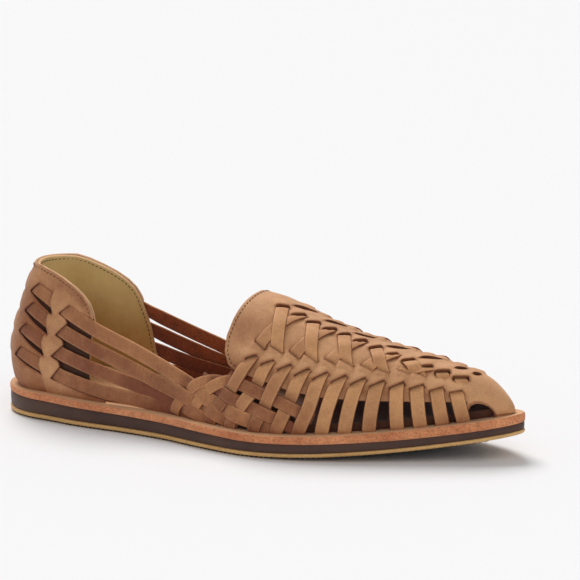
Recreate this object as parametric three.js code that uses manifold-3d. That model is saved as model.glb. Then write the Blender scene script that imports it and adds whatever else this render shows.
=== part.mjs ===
// Huarache sandal, right foot: a woven leather slip-on on a flat stacked sole.
// Shoe coordinates in millimetres: x runs from the back of the heel to the toe,
// y from the outer (lateral) side to the inner (medial) side, z up from the ground.
import * as THREE from 'three';
import { mergeVertices } from 'three/addons/utils/BufferGeometryUtils.js';
import Module from 'manifold-3d';

const wasm = await Module();
wasm.setup();

// ---- driving dimensions ------------------------------------------------------
const LENGTH = 262;
const TOE_SWING = 11.6;        // the toe tip lies this far toward the inner side
const SWING_START = 130;
const TOE_SPRING = 11;         // lift of the sole's underside at the tip
const SPRING_START = 140;
const HEEL_RADIUS = 30;        // length of the rounded end of the sole at the heel
const TOE_RADIUS = 24;
const GAP = 0.3;               // clearance between neighbouring pieces
const WALL = 2;                // leather of straps and vamp
const COVER = 1.3;             // outer heel leather
const INSOLE = 2.5;
const STRAP = 6.6;             // width of a woven strap
const SIDE_STRAPS = 12;
const SOLE_STATIONS = 56;
const LAST_STATIONS = 42;
const SECTION_STEPS = 11;      // facets from feather line to ridge, each side

// Half widths of the sole and of its three layers, along the shoe.
const SOLE = [
  { x: 0, lateral: 29.6, medial: 29.6, outsole: 2.9, midsole: 7.4, welt: 3.3 },
  { x: 30, lateral: 29.6, medial: 29.6, outsole: 2.9, midsole: 6.8, welt: 3.3 },
  { x: 50, lateral: 32.3, medial: 30.5, outsole: 2.8, midsole: 6.4, welt: 3.4 },
  { x: 80, lateral: 33.6, medial: 30.2, outsole: 2.8, midsole: 5.8, welt: 3.4 },
  { x: 100, lateral: 35.6, medial: 31.8, outsole: 2.8, midsole: 5.4, welt: 3.4 },
  { x: 125, lateral: 41.2, medial: 36.5, outsole: 2.7, midsole: 5, welt: 3.5 },
  { x: 150, lateral: 44.6, medial: 42, outsole: 2.7, midsole: 4.4, welt: 3.6 },
  { x: 175, lateral: 41.3, medial: 43.2, outsole: 2.6, midsole: 4.2, welt: 3.8 },
  { x: 200, lateral: 33, medial: 38.5, outsole: 2.6, midsole: 4, welt: 4 },
  { x: 220, lateral: 25, medial: 31, outsole: 2.6, midsole: 3.7, welt: 4.2 },
  { x: 240, lateral: 16.8, medial: 21.5, outsole: 2.6, midsole: 3.5, welt: 4.3 },
  { x: 262, lateral: 10.8, medial: 12, outsole: 2.6, midsole: 3.4, welt: 4.4 },
];

// The last: height of its ridge above the ground, the fullness of its sections
// (2 is an ellipse, more is boxier) and the margin of sole that shows around it.
const LAST = [
  { x: 0, ridge: 93, fullness: 2, margin: 3.6 },
  { x: 60, ridge: 93, fullness: 2, margin: 4.8 },
  { x: 100, ridge: 80, fullness: 1.9, margin: 5.2 },
  { x: 135, ridge: 67.2, fullness: 1.75, margin: 5.1 },
  { x: 145, ridge: 65, fullness: 1.8, margin: 5.1 },
  { x: 155, ridge: 60.8, fullness: 1.82, margin: 5 },
  { x: 165, ridge: 56.4, fullness: 1.85, margin: 5 },
  { x: 180, ridge: 51.2, fullness: 1.9, margin: 4.9 },
  { x: 200, ridge: 46.2, fullness: 1.98, margin: 4.8 },
  { x: 220, ridge: 42.3, fullness: 2.06, margin: 4.8 },
  { x: 238, ridge: 37.8, fullness: 2.18, margin: 4.7 },
  { x: 258, ridge: 30.5, fullness: 2.3, margin: 4.6 },
];
const LAST_TIP = 257.4;
const TIP_PLAN = 20;           // length of the rounded tip in plan
const TIP_SIDE = 15.5;         // and in side view
const HEEL_PLAN = 26;
const HEEL_SQUARENESS = 2.2;
const BACK_FADE = 70;          // ahead of this the back curve has no effect

// Curve of the back of the heel: set-back from x = 0 by height over the sole.
const BACK = [
  { height: 0, x: 4.8 }, { height: 5, x: 3 }, { height: 12, x: 1.5 },
  { height: 20, x: 1.7 }, { height: 30, x: 3.9 }, { height: 40, x: 7.4 },
  { height: 52, x: 11.6 }, { height: 60, x: 15 }, { height: 82, x: 25 },
];

// Cut lines of the upper in side view, as heights above the ground.
const TOPLINE = [
  { x: -5, z: 73.6 }, { x: 15, z: 73.6 }, { x: 24.5, z: 72.8 }, { x: 31, z: 71 },
  { x: 38, z: 68.4 }, { x: 45, z: 65.2 }, { x: 50.5, z: 61.9 }, { x: 54.6, z: 58.2 },
  { x: 57, z: 54 }, { x: 58.3, z: 50 },
];
const COUNTER_FRONT = {
  lateral: [{ x: 57.2, z: 43 }, { x: 56.6, z: 33 }, { x: 56.6, z: 22 }, { x: 61.6, z: 13 }],
  medial: [{ x: 60.4, z: 44 }, { x: 62, z: 38 }, { x: 64, z: 27 }, { x: 69, z: 13 }],
};
const THROAT = [
  { x: 137, z: 36 }, { x: 131.4, z: 41 }, { x: 129.8, z: 48.4 },
  { x: 130.1, z: 55.8 }, { x: 131.7, z: 62.5 }, { x: 134.6, z: 67 }, { x: 135, z: 90 },
];
const PANEL_EDGE = [
  { x: 240.6, z: 26.4 }, { x: 221, z: 26.4 }, { x: 209, z: 27 }, { x: 192, z: 27.4 },
  { x: 180, z: 28 }, { x: 166, z: 30 }, { x: 158, z: 31 },
];
const TOE_WINDOW = [
  { x: 251.6, z: 10 }, { x: 250.4, z: 22 }, { x: 248.6, z: 24.4 }, { x: 245, z: 26.2 },
];
const WEAVE = [
  { x: 104, z: 5 }, { x: 103, z: 17 }, { x: 108, z: 27.5 }, { x: 114, z: 32 },
  { x: 124, z: 32 }, { x: 137, z: 36.5 }, { x: 162, z: 31 }, { x: 168, z: 22 }, { x: 166, z: 5 },
];
// Centre lines of the four straps on each side, from the heel to the weave.
const HEEL_STRAPS = [
  { backZ: 50.2, frontX: 114, frontZ: 28.2 },
  { backZ: 40.6, frontX: 114, frontZ: 21.5 },
  { backZ: 30.4, frontX: 108, frontZ: 17.6 },
  { backZ: 19, frontX: 110, frontZ: 14.6 },
];
const STRAP_BACK = 46;         // where the heel straps come out of the cover
// Side straps: middle of the slot in the vamp, and of the foot on the sole.
const SLOT_FIRST = 145.4;
const SLOT_PITCH = 8.15;
const FOOT = [
  { strap: 0, x: 131 }, { strap: 3, x: 163 }, { strap: 4, x: 172 }, { strap: 7, x: 201 },
  { strap: 8, x: 212.6 }, { strap: 11, x: 238.8 },
];
// Windows in the outer heel leather, two columns a side, lower back corner of each.
const COVER_FRONT = [
  { x: 45.6, z: 54.8 }, { x: 41.5, z: 52 }, { x: 40, z: 44 }, { x: 38.5, z: 34 },
  { x: 37.5, z: 24 }, { x: 38, z: 18.4 }, { x: 56, z: 15.4 }, { x: 61.6, z: 14.4 }, { x: 62, z: 5 },
];
const COVER_WINDOWS = { count: 4, x: 20.6, z: 62.6, dropX: -2.2, dropZ: -10.3 };
const WINDOW = { length: 13.4, height: 7.4, fall: 5.9 };

// ---- small helpers -----------------------------------------------------------
// Smooth curve through the rows of a table, with parabolic end slopes.
function curve(rows, key, value) {
  const u = rows.map((row) => row[key]);
  const v = rows.map((row) => row[value]);
  const last = u.length - 1;
  const chord = (i) => (v[i + 1] - v[i]) / (u[i + 1] - u[i]);
  const slope = u.map((_, i) => {
    if (i === 0) return chord(0);
    if (i === last) return chord(last - 1);
    const before = u[i] - u[i - 1];
    const after = u[i + 1] - u[i];
    return (chord(i - 1) * after + chord(i) * before) / (before + after);
  });
  return (at) => {
    const t = THREE.MathUtils.clamp(at, u[0], u[last]);
    let i = 0;
    while (i < last - 1 && t > u[i + 1]) i += 1;
    const span = u[i + 1] - u[i];
    const s = (t - u[i]) / span;
    const s2 = s * s;
    const s3 = s2 * s;
    return (2 * s3 - 3 * s2 + 1) * v[i] + (s3 - 2 * s2 + s) * span * slope[i]
      + (3 * s2 - 2 * s3) * v[i + 1] + (s3 - s2) * span * slope[i + 1];
  };
}

// Rounded end: 0 at the tip, 1 from the given distance on.
function roundEnd(distance, radius, power = 2) {
  if (distance >= radius) return 1;
  const k = 1 - Math.max(distance, 0) / radius;
  return (1 - k ** power) ** (1 / power);
}

// Stations that crowd together at both ends.
function stations(from, to, count) {
  return Array.from({ length: count + 1 }, (_, i) => (
    from + (to - from) * 0.5 * (1 - Math.cos((Math.PI * i) / count))));
}

function manifoldOf(geometry) {
  const bare = new THREE.BufferGeometry();
  bare.setAttribute('position', geometry.getAttribute('position').clone());
  if (geometry.index) bare.setIndex(geometry.index);
  const merged = mergeVertices(bare, 1e-4);
  const index = merged.index.array;
  const kept = [];
  for (let i = 0; i < index.length; i += 3) {
    const [a, b, c] = [index[i], index[i + 1], index[i + 2]];
    if (a !== b && b !== c && a !== c) kept.push(a, b, c);
  }
  return new wasm.Manifold(new wasm.Mesh({
    numProp: 3,
    vertProperties: Float32Array.from(merged.getAttribute('position').array),
    triVerts: Uint32Array.from(kept),
  }));
}

function geometryOf(manifold) {
  const mesh = manifold.getMesh();
  const geometry = new THREE.BufferGeometry();
  geometry.setAttribute('position', new THREE.BufferAttribute(mesh.vertProperties, 3));
  geometry.setIndex(new THREE.BufferAttribute(mesh.triVerts, 1));
  geometry.computeVertexNormals();
  return geometry;
}

// Closed skin through closed rings whose first and last have no width.
function loft(rings) {
  const sides = rings[0].length;
  const position = rings.flat().flat();
  const index = [];
  for (let i = 0; i < rings.length - 1; i += 1) {
    for (let j = 0; j < sides; j += 1) {
      const a = i * sides + j;
      const b = i * sides + ((j + 1) % sides);
      index.push(a, b + sides, b, a, a + sides, b + sides);
    }
  }
  const geometry = new THREE.BufferGeometry();
  geometry.setAttribute('position', new THREE.Float32BufferAttribute(position, 3));
  geometry.setIndex(index);
  return geometry;
}

// Prism across the shoe with the given side-view outline.
function sideCut(outline, from = -80, to = 80) {
  const shape = new THREE.Shape(outline.map((p) => new THREE.Vector2(p.x, p.z)));
  const geometry = new THREE.ExtrudeGeometry(shape, { depth: to - from, bevelEnabled: false });
  geometry.rotateX(Math.PI / 2);
  geometry.translate(0, to, 0);
  return manifoldOf(geometry);
}

const union = (solids) => solids.reduce((all, one) => all.add(one));

// ---- the sole ----------------------------------------------------------------
const soleCurve = (name) => curve(SOLE, 'x', name);
const halfWidth = { lateral: soleCurve('lateral'), medial: soleCurve('medial') };
const layer = { outsole: soleCurve('outsole'), midsole: soleCurve('midsole'), welt: soleCurve('welt') };

const swing = (x) => TOE_SWING * (Math.max(x - SWING_START, 0) / (LENGTH - SWING_START)) ** 2;
const ground = (x) => TOE_SPRING * (Math.max(x - SPRING_START, 0) / (LENGTH - SPRING_START)) ** 2;
const outsoleTop = (x) => ground(x) + layer.outsole(x);
const midsoleTop = (x) => outsoleTop(x) + layer.midsole(x);
const soleTop = (x) => midsoleTop(x) + layer.welt(x);

function soleEdge(x, side) {
  const ends = roundEnd(x, HEEL_RADIUS) * roundEnd(LENGTH - x, TOE_RADIUS);
  return swing(x) + (side === 'lateral' ? -1 : 1) * halfWidth[side](x) * ends;
}

function soleLayer(bottom, top) {
  return loft(stations(0, LENGTH, SOLE_STATIONS).map((x) => {
    const lateral = soleEdge(x, 'lateral');
    const medial = soleEdge(x, 'medial');
    return [[x, lateral, bottom(x)], [x, lateral, top(x)], [x, medial, top(x)], [x, medial, bottom(x)]];
  }));
}

// ---- the last ----------------------------------------------------------------
const ridge = curve(LAST, 'x', 'ridge');
const fullness = curve(LAST, 'x', 'fullness');
const margin = curve(LAST, 'x', 'margin');
const back = curve(BACK, 'height', 'x');

// Point of the last's surface grown outward by `grow`. `angle` is 0 at the feather
// line and a right angle on the ridge; `along` is the distance from the heel.
function lastPoint(along, angle, side, grow) {
  const sign = side === 'lateral' ? -1 : 1;
  const tip = LAST_TIP + grow;
  const rise = (ridge(along) - soleTop(along) + grow) * roundEnd(tip - along, TIP_SIDE + grow);
  const height = rise * Math.sin(angle) ** (2 / fullness(along));
  const fade = Math.max(1 - along / BACK_FADE, 0) ** 2;
  const x = along + back(height) * fade;
  const ends = roundEnd(along + grow, HEEL_PLAN + grow, HEEL_SQUARENESS)
    * roundEnd(tip - along, TIP_PLAN + grow);
  const width = (halfWidth[side](along) - margin(along) + grow) * ends * Math.cos(angle);
  return [x, swing(along) + sign * width, soleTop(along) + GAP + height];
}

// Solid last of the given growth, its underside `drop` below the feather line.
function lastSolid(grow, drop = 0) {
  const angles = Array.from({ length: SECTION_STEPS + 1 }, (_, j) => (Math.PI / 2) * (j / SECTION_STEPS));
  const rings = stations(-grow, LAST_TIP + grow, LAST_STATIONS).map((along) => {
    const lateral = angles.map((a) => lastPoint(along, a, 'lateral', grow));
    const medial = angles.slice(0, -1).map((a) => lastPoint(along, a, 'medial', grow)).reverse();
    if (drop === 0) return [...lateral, ...medial];
    const lower = ([x, y, z]) => [x, y, z - drop];
    return [lower(lateral[0]), ...lateral, ...medial, lower(medial[medial.length - 1])];
  });
  return manifoldOf(loft(rings));
}

// Shell of the last between two growths, open underneath.
const shell = (outer, inner) => lastSolid(outer).subtract(lastSolid(inner, 4));

// ---- the upper ---------------------------------------------------------------
function band(x0, z0, x1, z1, width) {
  const length = Math.hypot(x1 - x0, z1 - z0);
  const nx = (-(z1 - z0) / length) * (width / 2);
  const nz = ((x1 - x0) / length) * (width / 2);
  return [
    { x: x0 - nx, z: z0 - nz }, { x: x1 - nx, z: z1 - nz },
    { x: x1 + nx, z: z1 + nz }, { x: x0 + nx, z: z0 + nz },
  ];
}

function sideStraps() {
  const foot = curve(FOOT, 'strap', 'x');
  return Array.from({ length: SIDE_STRAPS }, (_, k) => (
    sideCut(band(SLOT_FIRST + k * SLOT_PITCH, 40 - 0.6 * k, foot(k), 5, STRAP))));
}

// The straps from heel to weave, as side-view cuts widened by `extra` all round.
function heelStraps(extra = 0) {
  return HEEL_STRAPS.map((s) => (
    sideCut(band(STRAP_BACK - extra, s.backZ, s.frontX, s.frontZ, STRAP + 2 * extra))));
}

function vamp() {
  const outline = [
    ...THROAT, { x: 270, z: 90 }, { x: 270, z: 5 }, ...TOE_WINDOW, ...PANEL_EDGE,
  ];
  return sideCut(outline);
}

function counter(side) {
  const outline = [...TOPLINE, ...COUNTER_FRONT[side], { x: -5, z: 5 }];
  return side === 'lateral' ? sideCut(outline, -80, 0) : sideCut(outline, 0, 80);
}

function upper() {
  const woven = union([
    vamp(),
    sideCut(WEAVE),
    ...sideStraps(),
    ...heelStraps(),
  ]);
  const heelOuter = -COVER - GAP;
  const heel = shell(heelOuter, heelOuter - WALL)
    .intersect(union([counter('lateral'), counter('medial')]));
  return shell(0, -WALL).intersect(woven).add(heel);
}

// Outer heel leather, with windows where the heel straps show.
function heelCover() {
  const outline = sideCut([...TOPLINE, ...COVER_FRONT, { x: -5, z: 5 }]);
  const windows = Array.from({ length: COVER_WINDOWS.count }, (_, k) => {
    const x = COVER_WINDOWS.x + k * COVER_WINDOWS.dropX;
    const z = COVER_WINDOWS.z + k * COVER_WINDOWS.dropZ;
    return sideCut(band(x, z, x + WINDOW.length, z - WINDOW.fall, WINDOW.height));
  });
  return shell(0, -COVER).intersect(outline).subtract(union([...windows, ...heelStraps(GAP)]));
}

// Footbed inside the upper, on the leather layer.
function insole() {
  const inset = -COVER - WALL - 3 * GAP;
  const rings = stations(-inset, LAST_TIP + inset, LAST_STATIONS).map((along) => {
    const lateral = lastPoint(along, 0, 'lateral', inset);
    const medial = lastPoint(along, 0, 'medial', inset);
    const lift = ([x, y, z]) => [x, y, z + INSOLE];
    return [lateral, lift(lateral), lift(medial), medial];
  });
  return loft(rings);
}

// ---- assembly ----------------------------------------------------------------
function piece(name, geometry, color, roughness) {
  const material = new THREE.MeshStandardMaterial({ color, roughness, metalness: 0 });
  const mesh = new THREE.Mesh(geometry, material);
  mesh.name = name;
  return mesh;
}

const shoe = new THREE.Group();
shoe.add(
  piece('outsole', soleLayer(ground, (x) => outsoleTop(x) - GAP), 0xb08a4a, 0.6),
  piece('midsole', soleLayer(outsoleTop, (x) => midsoleTop(x) - GAP), 0x3a2a28, 0.7),
  piece('welt', soleLayer(midsoleTop, soleTop), 0xc07a4e, 0.8),
  piece('insole', insole(), 0xc89a68, 0.8),
  piece('upper', geometryOf(upper()), 0xb9875c, 0.85),
  piece('heel_cover', geometryOf(heelCover()), 0xae7c55, 0.85),
);

// The origin is under the middle of the shoe's length and width.
const edges = stations(0, LENGTH, SOLE_STATIONS).flatMap((x) => [soleEdge(x, 'lateral'), soleEdge(x, 'medial')]);
shoe.position.set(-LENGTH / 2, -(Math.min(...edges) + Math.max(...edges)) / 2, 0);

export default shoe;
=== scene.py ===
"""Huarache sandal, right shoe: the looks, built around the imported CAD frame.

Shoe coordinates are millimetres: x from the back of the heel to the toe, y from the outer
(lateral) side to the inner (medial) side, z up. `place` turns them into the frame's metres.
A point of the last has two coordinates: `along`, the distance from the heel, and `turn`, the
angle in degrees round the section: 0 is the outer feather line, 90 the ridge, 180 the inner.
"""
import math
import random

import bpy
import numpy as np
from mathutils import Matrix, Vector


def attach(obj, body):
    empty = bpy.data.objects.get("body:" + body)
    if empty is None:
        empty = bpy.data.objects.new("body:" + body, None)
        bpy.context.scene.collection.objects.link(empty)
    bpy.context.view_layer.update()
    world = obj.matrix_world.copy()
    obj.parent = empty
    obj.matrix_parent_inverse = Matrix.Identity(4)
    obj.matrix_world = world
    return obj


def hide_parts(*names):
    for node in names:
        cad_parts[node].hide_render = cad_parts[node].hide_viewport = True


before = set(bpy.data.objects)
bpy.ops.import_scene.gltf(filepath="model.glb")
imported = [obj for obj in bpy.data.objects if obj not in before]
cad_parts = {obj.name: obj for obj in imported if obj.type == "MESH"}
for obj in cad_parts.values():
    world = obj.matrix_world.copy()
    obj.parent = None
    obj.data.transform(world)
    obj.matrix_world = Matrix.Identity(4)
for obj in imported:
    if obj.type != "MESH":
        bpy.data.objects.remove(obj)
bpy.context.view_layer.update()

# ---------------------------------------------------------------- driving sizes, mm
LENGTH = 262.0
TOE_SWING = 11.6
SWING_START = 130.0
TOE_SPRING = 11.0
SPRING_START = 140.0
HEEL_RADIUS = 30.0
TOE_RADIUS = 24.0
GAP = 0.3
LAST_TIP = 257.4
TIP_PLAN = 20.0
TIP_SIDE = 15.5
HEEL_PLAN = 26.0
HEEL_SQUARENESS = 2.2
BACK_FADE = 70.0

# x, half width outside and inside, thickness of outsole, midsole and leather layer
SOLE = np.array([
    (0, 29.6, 29.6, 2.9, 7.4, 3.3), (30, 29.6, 29.6, 2.9, 6.8, 3.3),
    (50, 32.3, 30.5, 2.8, 6.4, 3.4), (80, 33.6, 30.2, 2.8, 5.8, 3.4),
    (100, 35.6, 31.8, 2.8, 5.4, 3.4), (125, 41.2, 36.5, 2.7, 5.0, 3.5),
    (150, 44.6, 42.0, 2.7, 4.4, 3.6), (175, 41.3, 43.2, 2.6, 4.2, 3.8),
    (200, 33.0, 38.5, 2.6, 4.0, 4.0), (220, 25.0, 31.0, 2.6, 3.7, 4.2),
    (240, 16.8, 21.5, 2.6, 3.5, 4.3), (262, 10.8, 12.0, 2.6, 3.4, 4.4),
])
# x, height of the ridge, fullness of the section, margin of sole round the upper
LAST = np.array([
    (0, 93, 2.0, 3.6), (60, 93, 2.0, 4.8), (100, 80, 1.9, 5.2), (135, 67.2, 1.75, 5.1),
    (145, 65, 1.8, 5.1), (155, 60.8, 1.82, 5.0), (165, 56.4, 1.85, 5.0), (180, 51.2, 1.9, 4.9),
    (200, 46.2, 1.98, 4.8), (220, 42.3, 2.06, 4.8), (238, 37.8, 2.18, 4.7), (258, 30.5, 2.3, 4.6),
])
# height over the sole, set-back of the heel's back curve
BACK = np.array([(0, 4.8), (5, 3.0), (12, 1.5), (20, 1.7), (30, 3.9), (40, 7.4), (52, 11.6),
                 (60, 15.0), (82, 25.0)])


def curve(rows, column):
    """Smooth curve through one column of a table, as a function of its first column."""
    u = rows[:, 0].astype(float)
    v = rows[:, column].astype(float)
    chord = np.diff(v) / np.diff(u)
    step = np.diff(u)
    slope = np.empty_like(u)
    slope[0], slope[-1] = chord[0], chord[-1]
    slope[1:-1] = (chord[:-1] * step[1:] + chord[1:] * step[:-1]) / (step[:-1] + step[1:])

    def at(t):
        t = np.clip(np.asarray(t, float), u[0], u[-1])
        i = np.clip(np.searchsorted(u, t, side="right") - 1, 0, len(u) - 2)
        span = u[i + 1] - u[i]
        s = (t - u[i]) / span
        return ((2 * s**3 - 3 * s**2 + 1) * v[i] + (s**3 - 2 * s**2 + s) * span * slope[i]
                + (3 * s**2 - 2 * s**3) * v[i + 1] + (s**3 - s**2) * span * slope[i + 1])
    return at


HALF_LATERAL, HALF_MEDIAL = curve(SOLE, 1), curve(SOLE, 2)
OUTSOLE, MIDSOLE, WELT = curve(SOLE, 3), curve(SOLE, 4), curve(SOLE, 5)
RIDGE, FULLNESS, MARGIN = curve(LAST, 1), curve(LAST, 2), curve(LAST, 3)
BACK_CURVE = curve(BACK, 1)


def round_end(distance, radius, power=2.0):
    k = 1 - np.clip(distance, 0, radius) / radius
    return (1 - k**power) ** (1 / power)


def swing(x):
    return TOE_SWING * (np.clip(np.asarray(x, float) - SWING_START, 0, None)
                        / (LENGTH - SWING_START)) ** 2


def ground(x):
    return TOE_SPRING * (np.clip(np.asarray(x, float) - SPRING_START, 0, None)
                         / (LENGTH - SPRING_START)) ** 2


def outsole_top(x):
    return ground(x) + OUTSOLE(x)


def midsole_top(x):
    return outsole_top(x) + MIDSOLE(x)


def sole_top(x):
    return midsole_top(x) + WELT(x)


def sole_edge(x, sign, inset=0.0):
    """Edge of the sole, drawn in by `inset`; sign -1 is the outer side."""
    ends = (round_end(x - inset, HEEL_RADIUS - inset)
            * round_end(LENGTH - inset - x, TOE_RADIUS - inset))
    half = HALF_LATERAL(x) if sign < 0 else HALF_MEDIAL(x)
    return swing(x) + sign * (half - inset) * ends


_edges = [sole_edge(LENGTH / 2 * (1 - math.cos(math.pi * i / 56)), s)
          for i in range(57) for s in (-1, 1)]
MID_Y = (min(_edges) + max(_edges)) / 2


def place(points):
    """Shoe millimetres to frame metres."""
    return (np.asarray(points, float) - (LENGTH / 2, MID_Y, 0)) / 1000


def last(along, turn, grow=0.0):
    """Points of the last grown outward. Past the feather line it runs straight down."""
    along, turn = np.broadcast_arrays(np.asarray(along, float), np.asarray(turn, float))
    below = np.maximum(np.maximum(-turn, turn - 180), 0)
    angle = np.radians(np.clip(turn, 0, 180))
    tip = LAST_TIP + grow
    rise = (RIDGE(along) - sole_top(along) + grow) * round_end(tip - along, TIP_SIDE + grow)
    height = rise * np.clip(np.sin(angle), 0, 1) ** (2 / FULLNESS(along))
    x = along + BACK_CURVE(height) * np.clip(1 - along / BACK_FADE, 0, 1) ** 2
    ends = (round_end(along + grow, HEEL_PLAN + grow, HEEL_SQUARENESS)
            * round_end(tip - along, TIP_PLAN + grow))
    side = np.cos(angle)
    half = np.where(side > 0, HALF_LATERAL(along), HALF_MEDIAL(along)) - MARGIN(along) + grow
    y = swing(along) - half * ends * side
    z = sole_top(along) + GAP + height - 0.9 * below
    return np.stack([x, y, z], -1)


def unit(v):
    return v / np.maximum(np.linalg.norm(v, axis=-1, keepdims=True), 1e-9)


# a line through the inside of the shoe, which every outward normal points away from
HEART_BACK, HEART_FRONT, HEART_HEIGHT = 28, 236, 24.0


def patch(point, u, v):
    """Point, its two tangents and the outward normal on a surface point(u, v), v in a range
    where both neighbours exist."""
    step_u, step_v = 0.2, 0.3
    p = point(u, v)
    pu = (point(u + step_u, v) - point(u - step_u, v)) / (2 * step_u)
    pv = (point(u, v + step_v) - point(u, v - step_v)) / (2 * step_v)
    normal = unit(np.cross(pu, pv))
    x = p[..., 0]
    heart = np.stack([np.clip(x, HEART_BACK, HEART_FRONT), swing(x), np.full(x.shape, HEART_HEIGHT)], -1)
    return p, pu, pv, normal * np.where(((p - heart) * normal).sum(-1) < 0, -1, 1)[..., None]


def running(points):
    """Distance along a line of points, from its first one."""
    return np.concatenate([[0], np.cumsum(np.linalg.norm(np.diff(points, axis=0), axis=1))])


# distance round the feather line from the centre of the heel, for each distance along
_ALONG = 180 * np.linspace(0, 1, 4001) ** 2
_RUN = running(last(_ALONG, 0.0))


def around(run, z):
    """The last by distance round from the centre of the heel (minus: outer side) and height."""
    run, z = np.broadcast_arrays(np.asarray(run, float), np.asarray(z, float))
    along = np.interp(np.abs(run), _RUN, _ALONG)
    height = np.maximum(z - sole_top(along) - GAP, 0)
    below = np.minimum(z - sole_top(along) - GAP, 0)
    share = height / (RIDGE(along) - sole_top(along))
    turn = np.degrees(np.arcsin(np.clip(share, 0, 0.98) ** (FULLNESS(along) / 2)))
    p = last(along, np.where(run < 0, turn, 180 - turn))
    p[..., 2] += below
    return p


def run_at(x, z, side=-1):
    """Distance round of the point of the last at x and z."""
    along = x
    for _ in range(12):
        along = x - BACK_CURVE(z - sole_top(along) - GAP) * np.clip(1 - along / BACK_FADE, 0, 1) ** 2
    return side * float(np.interp(along, _ALONG, _RUN))


def rolled(corners, side):
    """Corners x, z as distance round and height."""
    return [(run_at(x, z, side), z) for x, z in corners]


def turn_at(x, z):
    """Turn of the point of the outer side at x and z, past the heel's back curve."""
    share = (z - sole_top(x) - GAP) / ((RIDGE(x) - sole_top(x)) * round_end(LAST_TIP - x, TIP_SIDE))
    return float(np.degrees(np.arcsin(np.clip(share, 0, 1) ** (FULLNESS(x) / 2))))


def girth(along, turn):
    """Distance round the section from the ridge, minus on the outer side."""
    along, turn = np.broadcast_arrays(np.asarray(along, float), np.asarray(turn, float))
    ring = last(along[..., None], 90 + (turn - 90)[..., None] * np.linspace(0, 1, 25))
    return np.sign(turn - 90) * np.linalg.norm(np.diff(ring, axis=-2), axis=-1).sum(-1)


# ---------------------------------------------------------------- mesh collecting
class Pieces:
    """Closed pieces joined into one mesh, with a tint number and a material for each face."""

    def __init__(self):
        self.verts, self.faces, self.slots, self.tints, self.count = [], [], [], [], 0

    def add(self, verts, faces, slots, tint=0.5):
        verts = np.asarray(verts, float).reshape(-1, 3)
        self.verts.append(verts)
        self.faces.extend(tuple(int(i) + self.count for i in f) for f in faces)
        self.slots.extend(slots if not isinstance(slots, int) else [slots] * len(faces))
        self.tints.append(np.full(len(verts), tint) if np.isscalar(tint) else np.asarray(tint))
        self.count += len(verts)

    def build(self, name, materials, sharp=50):
        mesh = bpy.data.meshes.new(name)
        mesh.from_pydata(place(np.concatenate(self.verts)).tolist(), [], self.faces)
        for material in materials:
            mesh.materials.append(material)
        mesh.polygons.foreach_set("material_index", np.array(self.slots, np.int32))
        layer = mesh.attributes.new("tint", "FLOAT", "POINT")
        layer.data.foreach_set("value", np.concatenate(self.tints).astype(np.float32))
        mesh.shade_smooth()
        mesh.set_sharp_from_angle(angle=math.radians(sharp))
        mesh.validate()
        obj = bpy.data.objects.new(name, mesh)
        bpy.context.scene.collection.objects.link(obj)
        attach(obj, "root")
        return obj


def clip_grid(inside):
    """Cuts a grid of quads along inside = 0. Returns faces over numbered corners, and for
    each corner the two grid nodes that it lies between and how far along."""
    ni, nj = inside.shape
    node = np.arange(ni * nj).reshape(ni, nj)
    good = inside > 0
    quads = np.stack([node[:-1, :-1], node[1:, :-1], node[1:, 1:], node[:-1, 1:]], -1)
    whole = good[:-1, :-1] & good[1:, :-1] & good[1:, 1:] & good[:-1, 1:]
    some = (good[:-1, :-1] | good[1:, :-1] | good[1:, 1:] | good[:-1, 1:]) & ~whole
    faces = [tuple(q) for q in quads[whole].tolist()]
    flat = inside.ravel()
    cuts = {}

    def cut(a, b):
        key = (min(a, b), max(a, b))
        if key not in cuts:
            da, db = flat[key[0]], flat[key[1]]
            cuts[key] = (ni * nj + len(cuts), float(np.clip(da / (da - db), 0.04, 0.96)))
        return cuts[key][0]

    for quad in quads[some].tolist():
        poly = []
        for k in range(4):
            a, b = quad[k], quad[(k + 1) % 4]
            if flat[a] > 0:
                poly.append(a)
            if (flat[a] > 0) != (flat[b] > 0):
                poly.append(cut(a, b))
        if len(poly) >= 3:
            faces.append(tuple(poly))
    used = sorted({i for f in faces for i in f})
    number = {old: new for new, old in enumerate(used)}
    ends = np.zeros((ni * nj + len(cuts), 2), int)
    ends[:ni * nj, 0] = ends[:ni * nj, 1] = np.arange(ni * nj)
    share = np.zeros(ni * nj + len(cuts))
    for (a, b), (i, t) in cuts.items():
        ends[i] = (a, b)
        share[i] = t
    faces = [tuple(number[i] for i in f) for f in faces]
    return faces, ends[used], share[used]


def rim_edges(faces):
    """Edges with a face on one side only, in that face's direction."""
    seen = {}
    for f in faces:
        for k in range(len(f)):
            a, b = f[k], f[(k + 1) % len(f)]
            if (b, a) in seen:
                seen.pop((b, a))
            else:
                seen[(a, b)] = True
    return list(seen)


# materials of a leather piece: grain face, cut edge, inner face, and an edge that is trimmed
GRAIN_SLOT, EDGE_SLOT, INNER_SLOT, TRIM_SLOT = 0, 1, 2, 3
# rings round a cut edge: share of the thickness and of the bulge
EDGE_RINGS = [(0.22, 0.85), (0.5, 1.0), (0.78, 0.85)]


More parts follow.
